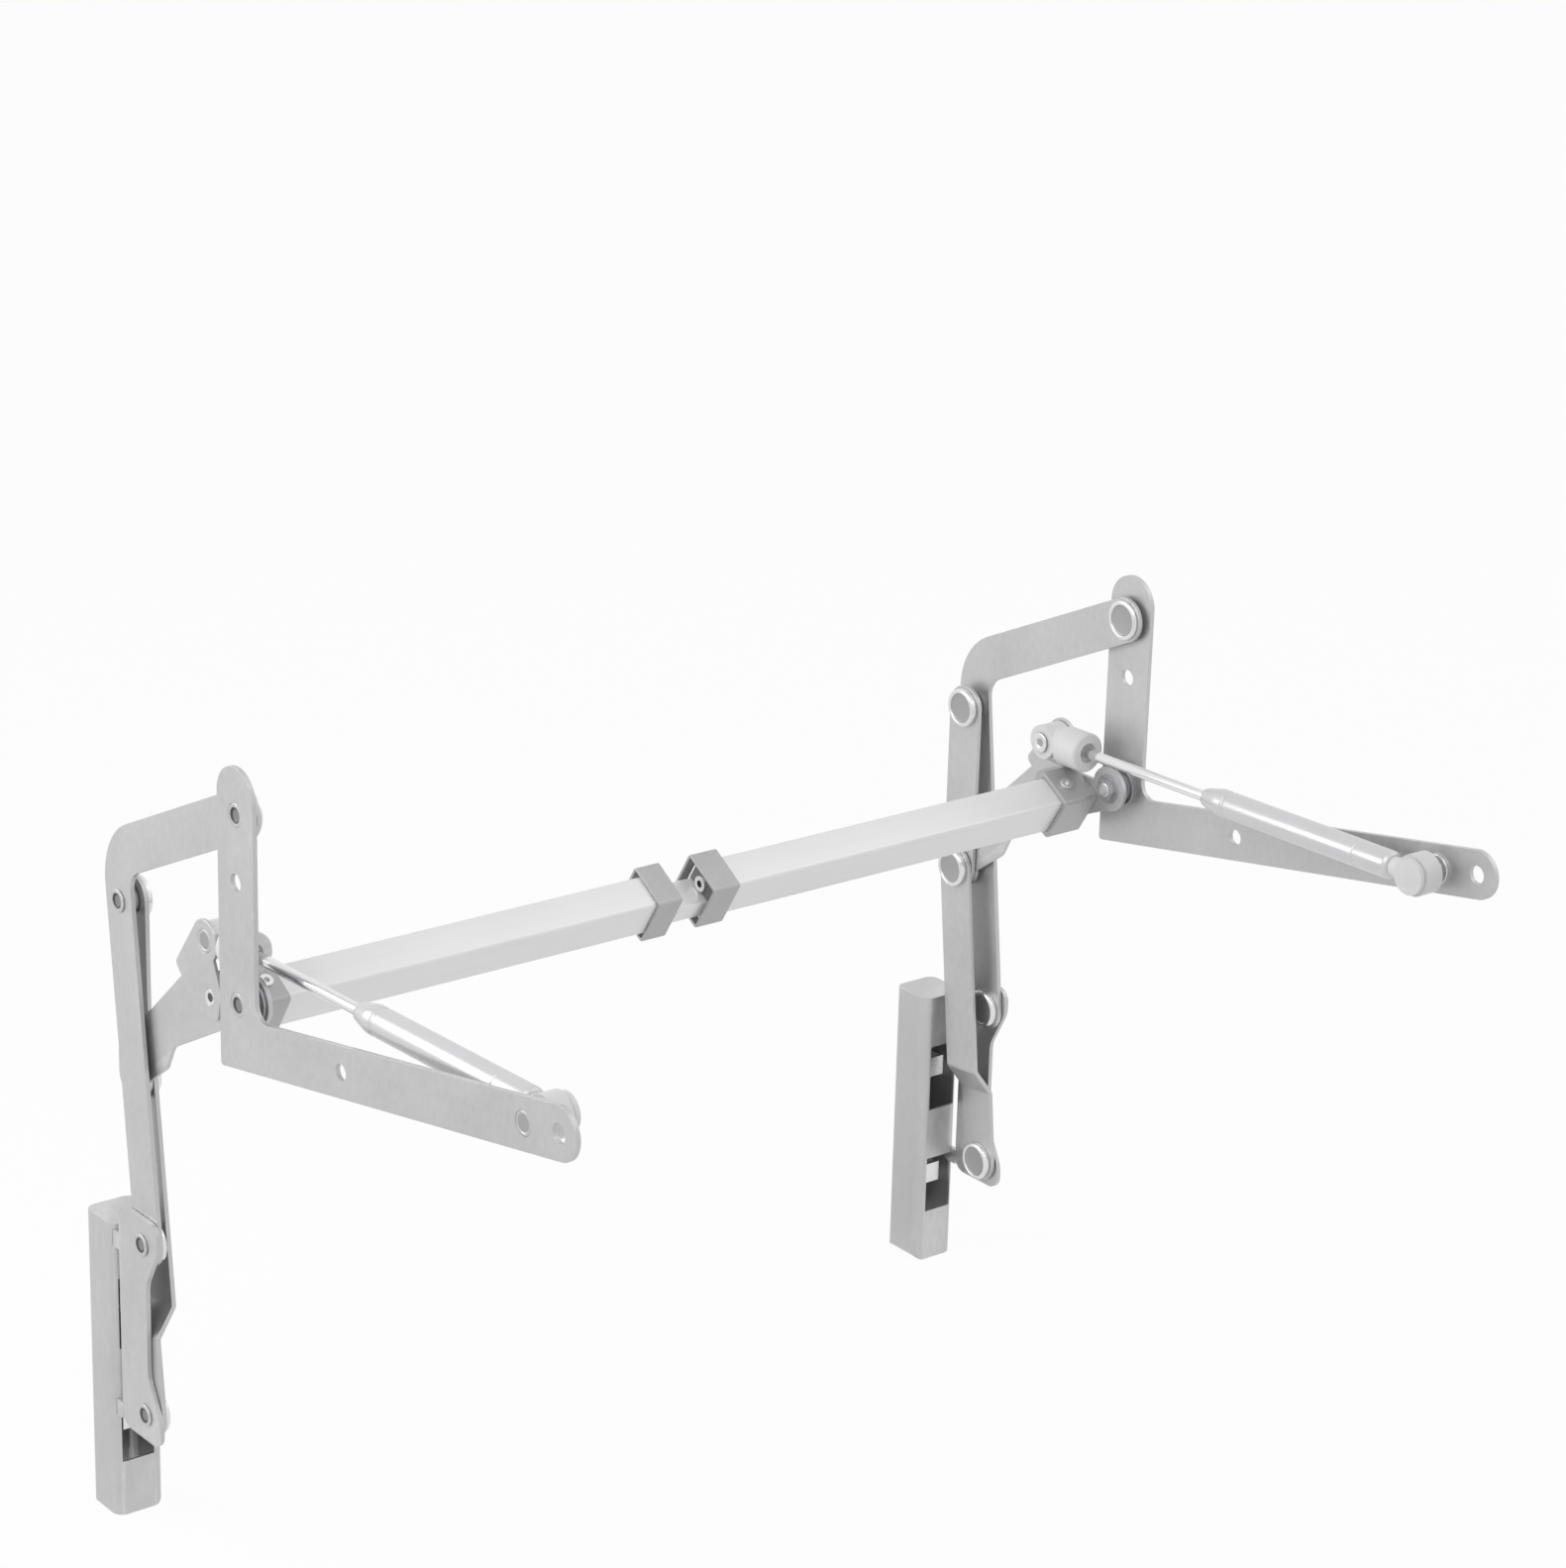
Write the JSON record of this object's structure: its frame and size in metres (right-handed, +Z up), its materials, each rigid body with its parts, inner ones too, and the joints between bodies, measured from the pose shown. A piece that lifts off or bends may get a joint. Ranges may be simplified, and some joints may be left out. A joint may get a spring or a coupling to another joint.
{
  "type": "lift-up cabinet hinge",
  "caption": "Lift-up cabinet hinge set: riveted parallel-link steel arms with gas springs on side plates, joined by a telescopic bar.",
  "frame": {"origin": "midway between the two side plates, on the common axis of the lower plate pivots", "axes": "+X along the cross bar toward the right side, +Y into the cabinet, +Z up in the pose of the picture; in use the set may hang the other way up"},
  "size_m": [0.566, 0.434, 0.452],
  "materials": {
    "zinc_steel": "satin zinc plate",
    "rail_steel": "satin zinc plate",
    "bright_rivet": "bright turned steel",
    "small_steel": "plain steel",
    "grey_bracket": "satin grey",
    "bar_silver": "satin anodised",
    "spring_silver": "silver paint",
    "polished_rod": "polished",
    "pale_nylon": "pale grey moulded"
  },
  "bodies": {
    "fixing_plates": {"right_side_plate": "zinc_steel", "right_plate_pivots": "bright_rivet", "right_pivot_nut": "small_steel", "right_plate_spacers": "small_steel", "left_side_plate": "zinc_steel", "left_plate_pivots": "bright_rivet", "left_pivot_nut": "small_steel", "left_plate_spacers": "small_steel"},
    "lift_arms": {"right_lower_arm": "zinc_steel", "right_spring_plate": "zinc_steel", "right_bar_bracket": "grey_bracket", "right_bracket_fixings": "small_steel", "right_knee_rivet": "bright_rivet", "right_knee_washers": "small_steel", "right_spring_front_stud": "bright_rivet", "right_door_link": "zinc_steel", "left_lower_arm": "zinc_steel", "left_spring_plate": "zinc_steel", "left_bar_bracket": "grey_bracket", "left_bracket_fixings": "small_steel", "left_knee_rivet": "bright_rivet", "left_knee_washers": "small_steel", "left_spring_front_stud": "bright_rivet", "left_door_link": "zinc_steel", "bar_tube_right": "bar_silver", "bar_tube_left": "bar_silver", "bar_inner_tube": "bar_silver", "bar_collar_right": "grey_bracket", "bar_collar_left": "grey_bracket", "bar_clamps": "small_steel"},
    "right_outer_arm": {"right_bent_arm": "zinc_steel", "right_elbow_rivet": "bright_rivet", "right_elbow_spacer": "small_steel"},
    "right_connector": {"right_upper_link": "zinc_steel"},
    "right_door_bracket": {"right_door_ear": "zinc_steel", "right_door_rivets": "bright_rivet", "right_door_washers": "small_steel", "right_door_rail": "rail_steel", "right_rail_slider": "rail_steel"},
    "right_spring_front": {"right_rod_end": "pale_nylon", "right_spring_rod": "polished_rod", "right_spring_piston": "small_steel"},
    "right_spring_rear": {"right_spring_tube": "spring_silver", "right_spring_guide": "small_steel", "right_tube_end": "pale_nylon"},
    "left_outer_arm": {"left_bent_arm": "zinc_steel", "left_elbow_rivet": "bright_rivet", "left_elbow_spacer": "small_steel"},
    "left_connector": {"left_upper_link": "zinc_steel"},
    "left_door_bracket": {"left_door_ear": "zinc_steel", "left_door_rivets": "bright_rivet", "left_door_washers": "small_steel", "left_door_rail": "rail_steel", "left_rail_slider": "rail_steel"},
    "left_spring_front": {"left_rod_end": "pale_nylon", "left_spring_rod": "polished_rod", "left_spring_piston": "small_steel"},
    "left_spring_rear": {"left_spring_tube": "spring_silver", "left_spring_guide": "small_steel", "left_tube_end": "pale_nylon"}
  },
  "joints": [
    {"name": "lift", "type": "hinge", "parent": "fixing_plates", "child": "lift_arms", "pos_m": [0, 0, 0], "axis": [-1, 0, 0], "range_deg": [0, 135]},
    {"name": "right_outer_swing", "type": "hinge", "parent": "fixing_plates", "child": "right_outer_arm", "pos_m": [0.2755, 0, 0.096], "axis": [-1, 0, 0], "range_deg": [0, 135]},
    {"name": "right_connector_turn", "type": "hinge", "parent": "lift_arms", "child": "right_connector", "pos_m": [0.2755, -0.12, -0.082], "axis": [1, 0, 0], "range_deg": [0, 135]},
    {"name": "right_door_turn", "type": "hinge", "parent": "lift_arms", "child": "right_door_bracket", "pos_m": [0.2755, -0.1, -0.261], "axis": [1, 0, 0], "range_deg": [0, 135]},
    {"name": "right_spring_turn", "type": "hinge", "parent": "lift_arms", "child": "right_spring_front", "pos_m": [0.266, -0.043, 0.017], "axis": [1, 0, 0], "range_deg": [0, 136]},
    {"name": "right_spring_slide", "type": "slide", "parent": "right_spring_front", "child": "right_spring_rear", "axis": [0, 0.9995, 0.0316], "range_m": [-0.0858, 0]},
    {"name": "left_outer_swing", "type": "hinge", "parent": "fixing_plates", "child": "left_outer_arm", "pos_m": [-0.2755, 0, 0.096], "axis": [-1, 0, 0], "range_deg": [0, 135]},
    {"name": "left_connector_turn", "type": "hinge", "parent": "lift_arms", "child": "left_connector", "pos_m": [-0.2755, -0.12, -0.082], "axis": [1, 0, 0], "range_deg": [0, 135]},
    {"name": "left_door_turn", "type": "hinge", "parent": "lift_arms", "child": "left_door_bracket", "pos_m": [-0.2755, -0.1, -0.261], "axis": [1, 0, 0], "range_deg": [0, 135]},
    {"name": "left_spring_turn", "type": "hinge", "parent": "lift_arms", "child": "left_spring_front", "pos_m": [-0.266, -0.043, 0.017], "axis": [1, 0, 0], "range_deg": [0, 136]},
    {"name": "left_spring_slide", "type": "slide", "parent": "left_spring_front", "child": "left_spring_rear", "axis": [0, 0.9995, 0.0316], "range_m": [-0.0858, 0]}
  ],
  "couplings": [
    {"joint": "right_outer_swing", "follows": "lift", "ratio": 1},
    {"joint": "right_connector_turn", "follows": "lift", "ratio": 1},
    {"joint": "right_door_turn", "follows": "lift", "ratio": 1},
    {"joint": "right_spring_turn", "follows": "lift", "ratio": 1.0029},
    {"joint": "right_spring_slide", "follows": "lift", "m_per_rad": -0.036255},
    {"joint": "left_outer_swing", "follows": "lift", "ratio": 1},
    {"joint": "left_connector_turn", "follows": "lift", "ratio": 1},
    {"joint": "left_door_turn", "follows": "lift", "ratio": 1},
    {"joint": "left_spring_turn", "follows": "lift", "ratio": 1.0029},
    {"joint": "left_spring_slide", "follows": "lift", "m_per_rad": -0.036255}
  ]
}
